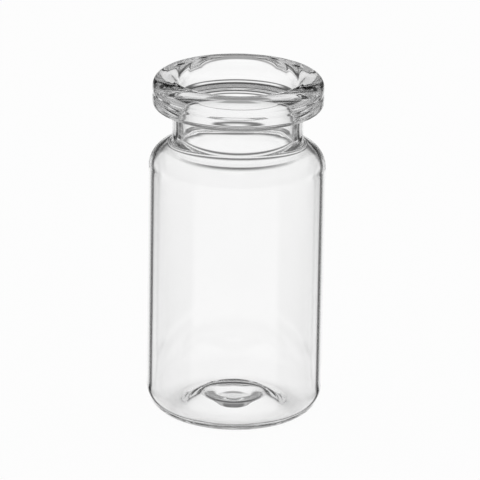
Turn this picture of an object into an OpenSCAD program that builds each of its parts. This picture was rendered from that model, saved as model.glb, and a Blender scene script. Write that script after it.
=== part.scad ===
// Clear glass sample vial with a crimp flange, formed from one length of tubing.
// The axis is +Z, the vial stands on z = 0, and every length is in millimetres.

/* [Body] */
// Outside diameter of the straight body
body_d = 20.7; // [18:0.1:30]
// Overall height, from the standing ring to the crest of the rim
height = 41.1; // [30:0.1:80]
// Wall of the straight body
wall = 0.6; // [0.45:0.05:1]
// Outside radius of the shoulder
shoulder_r = 2.8; // [1.5:0.1:4]
// Outside radius of the heel
heel_r = 3.2; // [2:0.1:4]
// Inside radius of the heel
heel_in_r = 2.1; // [1.5:0.1:3]

/* [Neck] */
// Bore for the stopper
bore_d = 13.2; // [11:0.1:15]
// Wall of the neck
neck_wall = 1.05; // [0.8:0.05:1.6]
// Length of the neck, from the flange down to the shoulder
neck_h = 4.3; // [2.5:0.05:8]
// How far the shoulder falls from the neck out to the body
shoulder_fall = 0.85; // [0.2:0.05:1.5]
// Glass over the cavity at the shoulder, measured straight down
shoulder_t = 0.6; // [0.45:0.05:1]
// Radius of the hollow where the neck grows out of the shoulder
root_r = 0.8; // [0.4:0.1:1.2]
// Radius where the cavity turns up into the bore
throat_r = 2; // [0.5:0.1:2.5]

/* [Flange] */
// Diameter of the flange that the crimp cap grips
flange_d = 20; // [18:0.1:26]
// Height of the flange
flange_h = 3.8; // [3:0.05:6]
// Radius of the flange's upper edge
rim_r = 1.25; // [0.4:0.05:1.5]
// Radius of the flange's lower edge
edge_r = 0.75; // [0.2:0.05:1]
// Radius of the hollow under the flange
under_r = 0.8; // [0.3:0.1:1.2]

/* [Mouth] */
// How much wider the mouth is than the bore, on each side
flare_w = 0.3; // [0.15:0.05:0.6]
// Height of the flare, measured down from the rim's crest
flare_h = 2.6; // [1.8:0.1:3.5]
// Width of the lip that slopes from the rim's crest in to the mouth
lip_w = 1.6; // [1:0.05:2]
// How far that lip falls
lip_drop = 0.3; // [0.1:0.05:0.6]
// Radius at both sides of the lip
lip_r = 1.4; // [0.4:0.1:1.8]
// Radius between the flare and the bore
flare_r = 1.5; // [0.5:0.1:4]

/* [Base] */
// Distance from the body's side in to the inner side of the standing ring
ring_inset = 4.25; // [3:0.05:4.5]
// Radius of the standing ring's inner side
ring_r = 2.7; // [0.5:0.1:3.5]
// Distance from the cavity's side in to the foot of the ridge
foot_inset = 3.4; // [2.3:0.05:4]
// Height of the floor at the foot of the ridge
foot_z = 0.9; // [0.7:0.05:1.2]
// Radius between the floor and the ridge
foot_r = 4; // [0.5:0.1:5]
// Diameter of the ridge that runs round the middle of the floor
ridge_d = 6.1; // [5:0.1:7.5]
// Height to which that ridge's two flanks run up
ridge_h = 2.7; // [2.3:0.05:3.4]
// Glass in the ridge, measured straight down
ridge_t = 0.65; // [0.5:0.05:1]
// Radius of the ridge's top
ridge_r = 1.7; // [0.5:0.1:2.2]
// Radius of the ridge's hollow underside
hollow_r = 0.85; // [0.3:0.05:1.2]
// Diameter of the thick glass button in the middle of the base
button_d = 3.8; // [2.5:0.1:4.6]
// Thickness of that button
button_t = 1.3; // [0.9:0.05:1.6]
// Gap between the button and the surface that the vial stands on
button_gap = 0.2; // [0.1:0.05:0.4]
// Radius of the button's lower edge
button_r = 0.7; // [0.2:0.1:1]
// Diameter of the well over the button
well_d = 3.1; // [2:0.1:4.4]
// Radius round that well
well_r = 1.3; // [0.3:0.1:1.8]

/* [Hidden] */
$fn = 128;

// How far an arc's piece laps into the straight-sided outline that it rounds
lap = 0.05;
// How far an arc's circle cuts past the straight runs beside it, so that it crosses them
bite = 0.0005;
// The part of a straight run that two arcs may take up between them
most_of_run = 0.95;

body_x = body_d / 2;
cavity_x = body_x - wall;
bore_x = bore_d / 2;
neck_x = bore_x + neck_wall;
mouth_x = bore_x + flare_w;
flange_x = flange_d / 2;
ring_x = body_x - ring_inset;
foot_x = cavity_x - foot_inset;
ridge_x = ridge_d / 2;
button_x = button_d / 2;
well_x = well_d / 2;

under_z = height - flange_h;
lip_z = height - lip_drop;
flare_z = height - flare_h;
root_z = under_z - neck_h;
shoulder_z = root_z - shoulder_fall;
// The cavity's roof runs parallel to the shoulder.
shoulder_slope = shoulder_fall / (body_x - neck_x);
throat_z = root_z + neck_wall * shoulder_slope - shoulder_t;
cavity_z = shoulder_z + wall * shoulder_slope - shoulder_t;
hollow_z = ridge_h - ridge_t;
well_z = button_gap + button_t;

// Corners of the half-section, anticlockwise, each with the radius that rounds it.
section = [
    [0, button_gap, 0],
    [button_x, button_gap, button_r],
    [ridge_x, hollow_z, hollow_r],
    [ring_x, 0, ring_r],
    [body_x, 0, heel_r],
    [body_x, shoulder_z, shoulder_r],
    [neck_x, root_z, root_r],
    [neck_x, under_z, under_r],
    [flange_x, under_z, edge_r],
    [flange_x, height, rim_r],
    [mouth_x + lip_w, height, lip_r],
    [mouth_x, lip_z, lip_r],
    [bore_x, flare_z, flare_r],
    [bore_x, throat_z, throat_r],
    [cavity_x, cavity_z, shoulder_r - wall],
    [cavity_x, wall, heel_in_r],
    [foot_x, foot_z, foot_r],
    [ridge_x, ridge_h, ridge_r],
    [well_x, well_z, well_r],
    [0, well_z, 0]
];

function corner(i) = section[(i + len(section)) % len(section)];
function spot(i) = [corner(i)[0], corner(i)[1]];
function toward(i, j) = (spot(j) - spot(i)) / norm(spot(j) - spot(i));
function half_angle(i) = acos(toward(i, i - 1) * toward(i, i + 1)) / 2;

// How far from its corner an arc starts. Arcs that would meet on a short run share it out.
function wanted(i) = corner(i)[2] / tan(half_angle(i));
function room(i, j) = most_of_run * norm(spot(j) - spot(i)) / (wanted(i) + wanted(j));
function reach(i) = wanted(i) * min(1, room(i, i - 1), room(i, i + 1));
function arc_end(i, j) = spot(i) + reach(i) * toward(i, j);

function is_round(i) = corner(i)[2] > 0;
function is_convex(i) = cross(toward(i - 1, i), toward(i, i + 1)) > 0;

// The piece of a circle between an arc and the chord that joins its ends.
module arc_piece(i) {
    radius = reach(i) * tan(half_angle(i));
    middle = toward(i, i - 1) + toward(i, i + 1);
    inward = middle / norm(middle);
    first = arc_end(i, i - 1);
    last = arc_end(i, i + 1);
    aside = radius * (last - first) / norm(last - first);
    intersection() {
        translate(spot(i) + inward * radius / sin(half_angle(i)))
            circle(radius + bite);
        polygon([
            first - aside + inward * lap,
            last + aside + inward * lap,
            last + aside - inward * radius,
            first - aside - inward * radius
        ]);
    }
}

// The half-section: its corners cut off straight, then filled or hollowed to their arcs.
module rounded_section() {
    all = [for (i = [0 : len(section) - 1]) i];
    difference() {
        union() {
            polygon([for (i = all) each is_round(i) ? [arc_end(i, i - 1), arc_end(i, i + 1)] : [spot(i)]]);
            for (i = all)
                if (is_round(i) && is_convex(i)) arc_piece(i);
        }
        for (i = all)
            if (is_round(i) && !is_convex(i)) arc_piece(i);
    }
}

module vial() {
    color([0.93, 0.95, 0.95, 0.35])
        rotate_extrude()
            rounded_section();
}

vial();
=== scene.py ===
"""Clear glass sample vial with a crimp flange, standing empty and open in a white studio.

Sizes are named and given in millimetres, as on the part's drawing, and become metres in the scene.
"""

import math

import bmesh
import bpy
from mathutils import Matrix, Vector


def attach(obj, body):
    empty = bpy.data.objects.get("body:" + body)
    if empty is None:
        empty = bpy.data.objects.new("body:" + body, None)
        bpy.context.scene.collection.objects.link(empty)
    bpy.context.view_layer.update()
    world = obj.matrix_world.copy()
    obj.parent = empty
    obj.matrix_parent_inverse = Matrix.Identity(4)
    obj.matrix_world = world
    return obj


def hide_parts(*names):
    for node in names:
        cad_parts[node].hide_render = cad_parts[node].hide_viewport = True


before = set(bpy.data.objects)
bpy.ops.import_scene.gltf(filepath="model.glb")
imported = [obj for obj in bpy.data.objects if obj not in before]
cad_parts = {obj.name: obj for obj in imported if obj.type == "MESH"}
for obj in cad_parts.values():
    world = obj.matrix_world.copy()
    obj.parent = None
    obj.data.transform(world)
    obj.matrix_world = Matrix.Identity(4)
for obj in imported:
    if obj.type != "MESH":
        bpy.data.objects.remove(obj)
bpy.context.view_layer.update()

MM = 0.001

# Body
BODY_R = 20.7 / 2
HEIGHT = 41.1
WALL = 0.6
SHOULDER_R = 2.8
HEEL_R = 3.2
HEEL_IN_R = 2.1
# Neck
BORE_R = 13.2 / 2
NECK_WALL = 1.05
NECK_H = 4.3
SHOULDER_FALL = 0.85
SHOULDER_T = 0.6
ROOT_R = 0.8
THROAT_R = 2.0
# Flange
FLANGE_R = 20 / 2
FLANGE_H = 3.8
RIM_R = 1.25
EDGE_R = 0.75
UNDER_R = 0.8
# Shallow groove round the flange, placed by how far it lies below the rim's crest
GROOVE_FALL = 2.0
GROOVE_H = 0.75
GROOVE_D = 0.07
GROOVE_R = 0.7
# Mouth
FLARE_W = 0.3
FLARE_H = 2.6
LIP_W = 1.6
LIP_DROP = 0.3
LIP_R = 1.4
FLARE_R = 1.5
# Base
RING_INSET = 4.25
RING_R = 2.7
FOOT_INSET = 3.4
FOOT_Z = 0.9
FOOT_R = 4.0
RIDGE_X = 6.1 / 2
RIDGE_H = 2.7
RIDGE_T = 0.65
RIDGE_R = 1.7
HOLLOW_R = 0.85
BUTTON_X = 3.8 / 2
BUTTON_T = 1.3
BUTTON_GAP = 0.2
BUTTON_R = 0.7
WELL_X = 3.1 / 2
WELL_R = 1.3

# Fineness of the turned glass
SEGMENTS = 160
ARC_POINTS = 12
LONGEST_RUN = 0.5
JOIN_WITHIN = 0.002
# Light runs round inside the thick flange many times before it leaves.
LIGHT_BOUNCES = 48


def section():
    """Corners of the vial's half-section, each as (radius from the axis, height, rounding)."""
    cavity_r = BODY_R - WALL
    neck_r = BORE_R + NECK_WALL
    mouth_r = BORE_R + FLARE_W
    under_z = HEIGHT - FLANGE_H
    groove_z = HEIGHT - GROOVE_FALL
    root_z = under_z - NECK_H
    shoulder_z = root_z - SHOULDER_FALL
    slope = SHOULDER_FALL / (BODY_R - neck_r)
    throat_z = root_z + NECK_WALL * slope - SHOULDER_T
    cavity_z = shoulder_z + WALL * slope - SHOULDER_T
    well_z = BUTTON_GAP + BUTTON_T
    return [
        (0, BUTTON_GAP, 0),
        (BUTTON_X, BUTTON_GAP, BUTTON_R),
        (RIDGE_X, RIDGE_H - RIDGE_T, HOLLOW_R),
        (BODY_R - RING_INSET, 0, RING_R),
        (BODY_R, 0, HEEL_R),
        (BODY_R, shoulder_z, SHOULDER_R),
        (neck_r, root_z, ROOT_R),
        (neck_r, under_z, UNDER_R),
        (FLANGE_R, under_z, EDGE_R),
        (FLANGE_R, groove_z - GROOVE_H / 2, GROOVE_R),
        (FLANGE_R - GROOVE_D, groove_z, GROOVE_R),
        (FLANGE_R, groove_z + GROOVE_H / 2, GROOVE_R),
        (FLANGE_R, HEIGHT, RIM_R),
        (mouth_r + LIP_W, HEIGHT, LIP_R),
        (mouth_r, HEIGHT - LIP_DROP, LIP_R),
        (BORE_R, HEIGHT - FLARE_H, FLARE_R),
        (BORE_R, throat_z, THROAT_R),
        (cavity_r, cavity_z, SHOULDER_R - WALL),
        (cavity_r, WALL, HEEL_IN_R),
        (cavity_r - FOOT_INSET, FOOT_Z, FOOT_R),
        (RIDGE_X, RIDGE_H, RIDGE_R),
        (WELL_X, well_z, WELL_R),
        (0, well_z, 0),
    ]


def linear(colour):
    """An sRGB hex colour as linear red, green, blue and alpha."""
    parts = [int(colour[i:i + 2], 16) / 255 for i in (1, 3, 5)]
    return [c / 12.92 if c <= 0.04045 else ((c + 0.055) / 1.055) ** 2.4 for c in parts] + [1.0]


def add_node(tree, kind, inputs=None, **settings):
    """Adds a node, makes its settings, and sets or links each of the inputs that are given."""
    node = tree.nodes.new(kind)
    for name, value in settings.items():
        setattr(node, name, value)
    for key, value in (inputs or {}).items():
        if isinstance(value, bpy.types.NodeSocket):
            tree.links.new(value, node.inputs[key])
        else:
            node.inputs[key].default_value = value
    return node


def math_node(tree, operation, first, second=0.0):
    """The result of one sum on two numbers or sockets."""
    return add_node(tree, "ShaderNodeMath", {0: first, 1: second}, operation=operation).outputs[0]


def ramp(tree, position, stops):
    """A grey level that runs through the stops, given as (position from 0 to 1, level)."""
    node = add_node(tree, "ShaderNodeValToRGB", {"Fac": position})
    elements = node.color_ramp.elements
    while len(elements) < len(stops):
        elements.new(1.0)
    for element, (place, level) in zip(elements, stops):
        element.position = place
        element.color = (level, level, level, 1.0)
    return node.outputs["Color"]


def within(tree, value, low, high, soft):
    """1 where a value lies between two limits and 0 outside them, with soft edges."""
    edges = ((low - soft, low + soft, 0.0, 1.0), (high - soft, high + soft, 1.0, 0.0))
    steps = []
    for start, end, before, after in edges:
        step = add_node(tree, "ShaderNodeMapRange", {
            "Value": value,
            "From Min": start,
            "From Max": end,
            "To Min": before,
            "To Max": after,
        }, interpolation_type="SMOOTHSTEP")
        steps.append(step.outputs["Result"])
    return math_node(tree, "MULTIPLY", *steps)


def turning_tree():
    """A tree that rounds an outline's corners and turns it about Z into a closed solid."""
    tree = bpy.data.node_groups.new("turned_glass", "GeometryNodeTree")
    sockets = (
        ("Outline", "INPUT", "NodeSocketGeometry"),
        ("Segments", "INPUT", "NodeSocketInt"),
        ("Arc Points", "INPUT", "NodeSocketInt"),
        ("Longest Run", "INPUT", "NodeSocketFloat"),
        ("Glass", "INPUT", "NodeSocketMaterial"),
        ("Solid", "OUTPUT", "NodeSocketGeometry"),
    )
    for name, side, kind in sockets:
        tree.interface.new_socket(name, in_out=side, socket_type=kind)
    given = add_node(tree, "NodeGroupInput").outputs
    place = add_node(tree, "GeometryNodeInputPosition").outputs[0]
    index = add_node(tree, "GeometryNodeInputIndex").outputs[0]

    # Each corner becomes an arc, and each long straight run is cut into short ones.
    rounding = add_node(tree, "GeometryNodeInputNamedAttribute", {"Name": "rounding"}, data_type="FLOAT")
    outline = add_node(tree, "GeometryNodeMeshToCurve", {"Mesh": given["Outline"]})
    rounded = add_node(tree, "GeometryNodeFilletCurve", {
        "Curve": outline.outputs["Curve"],
        "Count": given["Arc Points"],
        "Radius": rounding.outputs["Attribute"],
        "Limit Radius": True,
    }, mode="POLY")
    following = add_node(tree, "GeometryNodeOffsetPointInCurve", {"Point Index": index, "Offset": 1})
    next_place = add_node(tree, "GeometryNodeFieldAtIndex", {
        "Index": following.outputs["Point Index"],
        "Value": place,
    }, data_type="FLOAT_VECTOR")
    run = add_node(tree, "ShaderNodeVectorMath", {0: place, 1: next_place.outputs[0]}, operation="DISTANCE")
    cuts = math_node(tree, "DIVIDE", run.outputs["Value"], given["Longest Run"])
    fine = add_node(tree, "GeometryNodeSubdivideCurve", {
        "Curve": rounded.outputs["Curve"],
        "Cuts": math_node(tree, "FLOOR", cuts),
    }).outputs["Curve"]

    # A grid with one column for each segment is wrapped round the axis, along the outline.
    size = add_node(tree, "GeometryNodeAttributeDomainSize", {"Geometry": fine}, component="CURVE")
    count = size.outputs["Point Count"]
    grid = add_node(tree, "GeometryNodeMeshGrid", {
        "Vertices X": math_node(tree, "ADD", given["Segments"], 1.0),
        "Vertices Y": count,
    })
    column = math_node(tree, "FLOOR", math_node(tree, "DIVIDE", index, count))
    sampled = add_node(tree, "GeometryNodeSampleIndex", {
        "Geometry": fine,
        "Value": place,
        "Index": math_node(tree, "MODULO", index, count),
    }, data_type="FLOAT_VECTOR")
    turn = math_node(tree, "DIVIDE", math_node(tree, "MULTIPLY", column, math.tau), given["Segments"])
    turned = add_node(tree, "ShaderNodeVectorRotate", {
        "Vector": sampled.outputs[0],
        "Angle": turn,
    }, rotation_type="Z_AXIS")
    wrapped = add_node(tree, "GeometryNodeSetPosition", {
        "Geometry": grid.outputs["Mesh"],
        "Position": turned.outputs["Vector"],
    })
    joined = add_node(tree, "GeometryNodeMergeByDistance", {
        "Geometry": wrapped.outputs["Geometry"],
        "Distance": JOIN_WITHIN * MM,
    })
    smooth = add_node(tree, "GeometryNodeSetShadeSmooth", {"Geometry": joined.outputs["Geometry"]})
    real = add_node(tree, "GeometryNodeRealizeInstances", {"Geometry": smooth.outputs["Geometry"]})
    glazed = add_node(tree, "GeometryNodeSetMaterial", {
        "Geometry": real.outputs["Geometry"],
        "Material": given["Glass"],
    })
    add_node(tree, "NodeGroupOutput", {"Solid": glazed.outputs["Geometry"]})
    return tree


def turned_piece(name, corners, material):
    """A plain mesh object: the outline through the corners, rounded and turned about Z."""
    outline = bpy.data.meshes.new(name + "_outline")
    points = [(radius * MM, 0, height * MM) for radius, height, _ in corners]
    outline.from_pydata(points, [(i, i + 1) for i in range(len(points) - 1)], [])
    rounding = outline.attributes.new("rounding", "FLOAT", "POINT")
    for spot, (_, _, radius) in zip(rounding.data, corners):
        spot.value = radius * MM
    piece = bpy.data.objects.new(name, outline)
    bpy.context.scene.collection.objects.link(piece)

    tree = turning_tree()
    modifier = piece.modifiers.new("turning", "NODES")
    modifier.node_group = tree
    values = {
        "Segments": SEGMENTS,
        "Arc Points": ARC_POINTS,
        "Longest Run": LONGEST_RUN * MM,
        "Glass": material,
    }
    for item in tree.interface.items_tree:
        if item.in_out == "INPUT" and item.name in values:
            modifier[item.identifier] = values[item.name]

    seen = bpy.context.evaluated_depsgraph_get()
    solid = bpy.data.meshes.new_from_object(piece.evaluated_get(seen))
    solid.name = name
    piece.modifiers.remove(modifier)
    piece.data = solid
    bpy.data.meshes.remove(outline)
    shell = bmesh.new()
    shell.from_mesh(solid)
    bmesh.ops.recalc_face_normals(shell, faces=shell.faces)
    shell.to_mesh(solid)
    shell.free()
    return piece


def clear_glass():
    """Drawn borosilicate tubing, re-heated to form the base, the shoulder and the flange.

    Drawing leaves faint lengthwise lines a few millimetres apart in the body. The flange was
    rolled while soft, which leaves finer ripples that run round it.
    """
    line_spacing = 2.5
    line_length = 30.0
    line_depth = 0.004
    ripple_spacing = 0.9
    ripple_length = 6.0
    ripple_depth = 0.012
    # Heights between which the ripples set in
    rolled_from = 33.0
    rolled_to = 38.0
    patch_size = 8.0
    relief_detail = 1.0
    patch_detail = 2.0
    noise_middle = 0.5
    refraction = 1.478
    material = bpy.data.materials.new("clear_glass")
    material.use_nodes = True
    tree = material.node_tree
    tree.nodes.clear()
    place = add_node(tree, "ShaderNodeTexCoord").outputs["Object"]

    def noise(across, along, detail):
        """Noise from -0.5 to 0.5 whose grains measure across by along, in millimetres."""
        stretch = (1 / (across * MM), 1 / (across * MM), 1 / (along * MM))
        scaled = add_node(tree, "ShaderNodeMapping", {"Vector": place, "Scale": stretch})
        grain = add_node(tree, "ShaderNodeTexNoise", {
            "Vector": scaled.outputs["Vector"],
            "Scale": 1.0,
            "Detail": detail,
        })
        return math_node(tree, "SUBTRACT", grain.outputs["Fac"], noise_middle)

    height = add_node(tree, "ShaderNodeSeparateXYZ", {"Vector": place}).outputs["Z"]
    rolled = add_node(tree, "ShaderNodeMapRange", {
        "Value": height,
        "From Min": rolled_from * MM,
        "From Max": rolled_to * MM,
    }, interpolation_type="SMOOTHSTEP").outputs["Result"]
    line_noise = noise(line_spacing, line_length, relief_detail)
    lines = math_node(tree, "MULTIPLY", line_noise, line_depth * MM)
    ripple_noise = noise(ripple_length, ripple_spacing, relief_detail)
    ripples = math_node(tree, "MULTIPLY", ripple_noise, ripple_depth * MM)
    relief = math_node(tree, "ADD", lines, math_node(tree, "MULTIPLY", ripples, rolled))
    bump = add_node(tree, "ShaderNodeBump", {"Height": relief, "Strength": 1.0, "Distance": 1.0})

    # The glass holds back a trace of the light, a little unevenly from place to place.
    tint = add_node(tree, "ShaderNodeMix", {
        "Factor": math_node(tree, "ADD", noise(patch_size, patch_size, patch_detail), noise_middle),
        "A": linear("#fbfbfb"),
        "B": linear("#fefefe"),
    }, data_type="RGBA")
    glass = add_node(tree, "ShaderNodeBsdfPrincipled", {
        "Base Color": tint.outputs["Result"],
        "Roughness": 0.0,
        "IOR": refraction,
        "Transmission Weight": 1.0,
        "Normal": bump.outputs["Normal"],
    })
    add_node(tree, "ShaderNodeOutputMaterial", {"Surface": glass.outputs["BSDF"]})
    return material


def studio():
    """A lit white backdrop and floor with pale walls all round, black cards and dimmer panels."""
    half_turn = 180
    # Levels of the walls by the angle away from the middle of the backdrop, in degrees.
    walls = ((0, 1.0), (10, 0.98), (18, 0.86), (60, 0.85), (180, 0.85))
    # Panels: angles aside from and to, angles above the horizon from and to, level, softness.
    # A limit past 0, 180 or -90 degrees leaves a panel without an edge on that side.
    panels = (
        # Black cards beside the backdrop, and a low strip that goes on round from each of them
        (25, 37, -95, 10, 0.03, 3),
        (38, 60, -18, -9, 0.1, 2),
        # The dim room between the walls and the light overhead, darkest above the backdrop
        (-10, 28, 0, 75, 0.03, 4),
        (28, 60, 0, 75, 0.6, 4),
        (60, 190, 0, 75, 0.4, 4),
        # The join of floor and backdrop behind the vial, and the backdrop's ends at the horizon
        (-10, 20, -12, -7, 0.15, 2),
        (10, 26, -8, 2, 0.12, 3),
        # Shade on the floor, far out at both sides and close behind the vial
        (60, 120, -24, -18, 0.5, 2),
        (-10, 12, -62, -45, 0.4, 3),
        # The floor in front of the vial and straight below it, which no lamp reaches
        (110, 190, -62, -25, 0.35, 4),
        (-10, 190, -95, -62, 0.35, 4),
    )
    world = bpy.data.worlds.new("studio")
    bpy.context.scene.world = world
    world.use_nodes = True
    tree = world.node_tree
    tree.nodes.clear()
    ray = add_node(tree, "ShaderNodeTexCoord").outputs["Generated"]
    x, y, z = add_node(tree, "ShaderNodeSeparateXYZ", {"Vector": ray}).outputs
    turn = math_node(tree, "ABSOLUTE", math_node(tree, "ARCTAN2", x, y))
    aside = math_node(tree, "DEGREES", turn)
    raised = math_node(tree, "DEGREES", math_node(tree, "ARCSINE", z))
    stops = [(angle / half_turn, brightness) for angle, brightness in walls]
    level = ramp(tree, math_node(tree, "DIVIDE", turn, math.pi), stops)
    for left, right, low, high, shade, soft in panels:
        across = within(tree, aside, left, right, soft)
        upward = within(tree, raised, low, high, soft)
        covered = math_node(tree, "MULTIPLY", across, upward)
        dimmed = math_node(tree, "SUBTRACT", 1.0, math_node(tree, "MULTIPLY", covered, 1.0 - shade))
        level = math_node(tree, "MULTIPLY", level, dimmed)
    # Seen directly, and not through the glass, the studio is plain white.
    path = add_node(tree, "ShaderNodeLightPath").outputs
    seen = math_node(tree, "MAXIMUM", level, path["Is Camera Ray"])
    sky = add_node(tree, "ShaderNodeBackground", {"Color": seen, "Strength": 1.0})
    add_node(tree, "ShaderNodeOutputWorld", {"Surface": sky.outputs["Background"]})


def white_floor():
    """A white floor that fades into the backdrop and keeps a soft shadow."""
    half = 2.0
    shadow_share = 0.06
    # A little over 1, to make up for what the matt share of the floor loses
    glow_level = 1.02
    mesh = bpy.data.meshes.new("floor")
    corners = [(-half, -half, 0), (half, -half, 0), (half, half, 0), (-half, half, 0)]
    mesh.from_pydata(corners, [], [(0, 1, 2, 3)])
    floor = bpy.data.objects.new("floor", mesh)
    bpy.context.scene.collection.objects.link(floor)
    material = bpy.data.materials.new("white_floor")
    mesh.materials.append(material)
    material.use_nodes = True
    tree = material.node_tree
    tree.nodes.clear()
    glow = add_node(tree, "ShaderNodeEmission", {"Color": linear("#ffffff"), "Strength": glow_level})
    matt = add_node(tree, "ShaderNodeBsdfDiffuse", {"Color": linear("#ffffff")})
    shown = add_node(tree, "ShaderNodeMixShader", {
        "Fac": shadow_share,
        1: glow.outputs[0],
        2: matt.outputs[0],
    })
    # The glass looks through the floor, at the studio's panels below the horizon.
    path = add_node(tree, "ShaderNodeLightPath").outputs
    clear = add_node(tree, "ShaderNodeBsdfTransparent")
    through = math_node(tree, "MAXIMUM", path["Is Glossy Ray"], path["Is Transmission Ray"])
    surface = add_node(tree, "ShaderNodeMixShader", {
        "Fac": through,
        1: shown.outputs[0],
        2: clear.outputs[0],
    })
    add_node(tree, "ShaderNodeOutputMaterial", {"Surface": surface.outputs[0]})


def camera():
    """A long lens, looking a little down on the vial from the front."""
    distance = 600 * MM
    nearest = 10 * MM
    pixels_per_mm = 8.515
    image_width = 480
    sensor_width = 36
    elevation = math.radians(18.61)
    roll = math.radians(0.912)
    aim = Vector((0.464, 0, 20.928)) * MM
    lens = bpy.data.cameras.new("camera")
    lens.sensor_width = sensor_width
    lens.lens = pixels_per_mm * distance / MM * sensor_width / image_width
    lens.clip_start = nearest
    eye = bpy.data.objects.new("camera", lens)
    bpy.context.scene.collection.objects.link(eye)
    forward = Vector((0, math.cos(elevation), -math.sin(elevation)))
    right = Vector((1, 0, 0))
    up = right.cross(forward)
    side = math.cos(roll) * right + math.sin(roll) * up
    top = math.cos(roll) * up - math.sin(roll) * right
    turn = Matrix((side, top, -forward)).transposed().to_4x4()
    eye.matrix_world = Matrix.Translation(aim - distance * forward) @ turn
    bpy.context.scene.camera = eye


bpy.context.scene.view_settings.view_transform = "Standard"
paths = bpy.context.scene.cycles
paths.max_bounces = LIGHT_BOUNCES
paths.glossy_bounces = LIGHT_BOUNCES
paths.transmission_bounces = LIGHT_BOUNCES
vial = turned_piece("vial_glass", section(), clear_glass())
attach(vial, "root")
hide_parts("vial")
white_floor()
studio()
camera()
